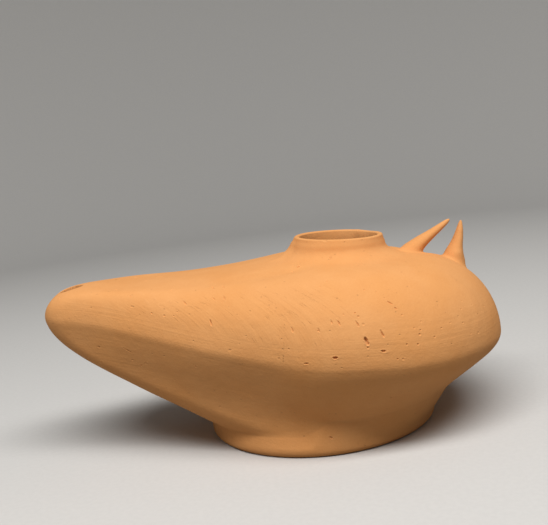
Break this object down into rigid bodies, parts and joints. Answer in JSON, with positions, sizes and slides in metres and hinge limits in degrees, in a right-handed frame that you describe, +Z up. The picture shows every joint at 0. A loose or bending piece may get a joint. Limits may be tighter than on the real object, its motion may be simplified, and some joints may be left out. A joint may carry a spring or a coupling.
{
  "type": "roman oil lamp",
  "caption": "Hollow fired-clay oil lamp with a domed shoulder, raised filling collar, long tapering nozzle with a wick hole, low disc foot and the pointed stubs of a lost loop handle.",
  "frame": {"origin": "centre of the foot's underside", "axes": "+Z up from the foot, -X towards the nozzle, the lamp the same on both sides of the X-Z plane"},
  "size_m": [0.11, 0.0736, 0.046],
  "materials": {
    "clay": "matte"
  },
  "bodies": {
    "root": {"lamp": "clay"}
  },
  "joints": []
}
